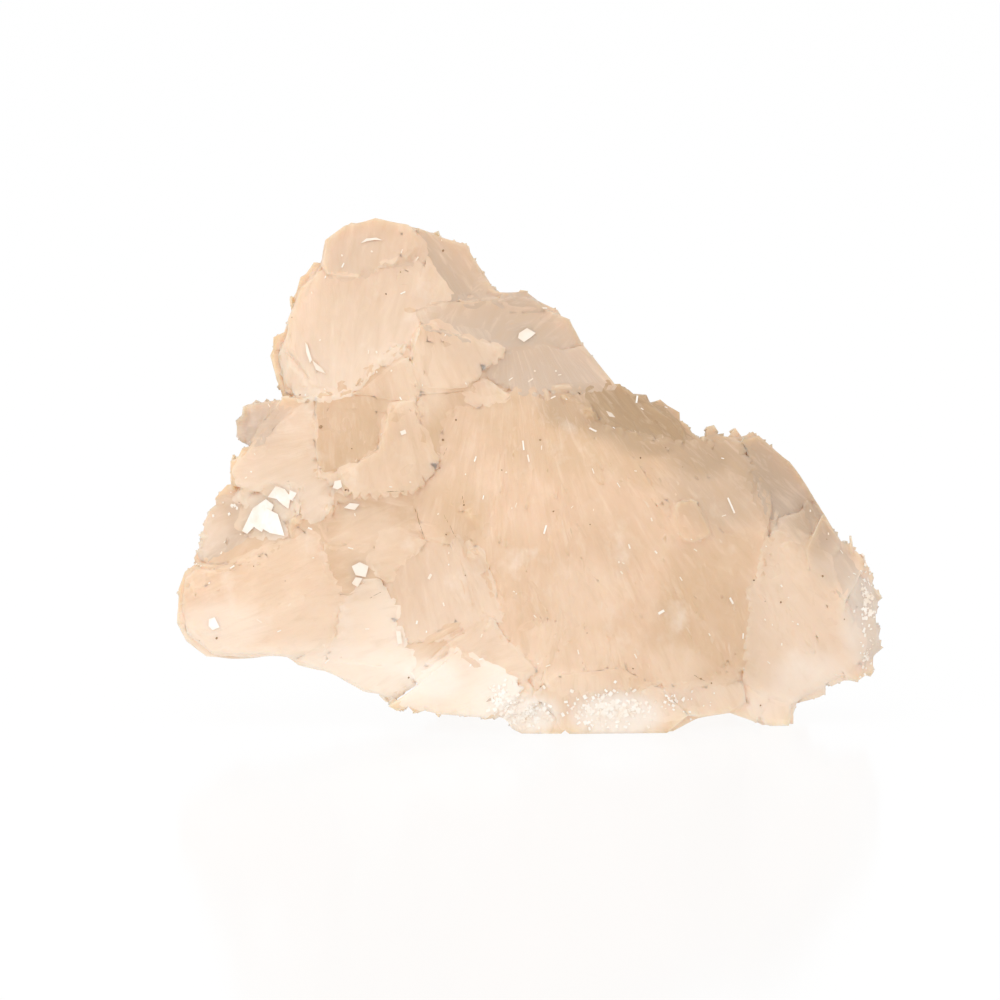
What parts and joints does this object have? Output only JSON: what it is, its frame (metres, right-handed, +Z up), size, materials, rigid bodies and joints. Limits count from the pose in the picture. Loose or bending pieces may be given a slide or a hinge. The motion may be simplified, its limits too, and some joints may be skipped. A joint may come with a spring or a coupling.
{
  "type": "calcite specimen",
  "caption": "Hand-sized cluster of saw-edged, plate-like calcite crystals grown together in one translucent honey-peach mass, standing on its own trimmed base.",
  "frame": {"origin": "on the surface that the specimen stands on, under the middle of its box", "axes": "+Z up, +X to the right along the longest side of the display face, -Y towards the viewer of that face"},
  "size_m": [0.1408, 0.0552, 0.0993],
  "materials": {
    "calcite": "satin, translucent honey-peach calcite with paler, whiter edges"
  },
  "bodies": {
    "root": {"calcite_cluster": "calcite"}
  },
  "joints": []
}
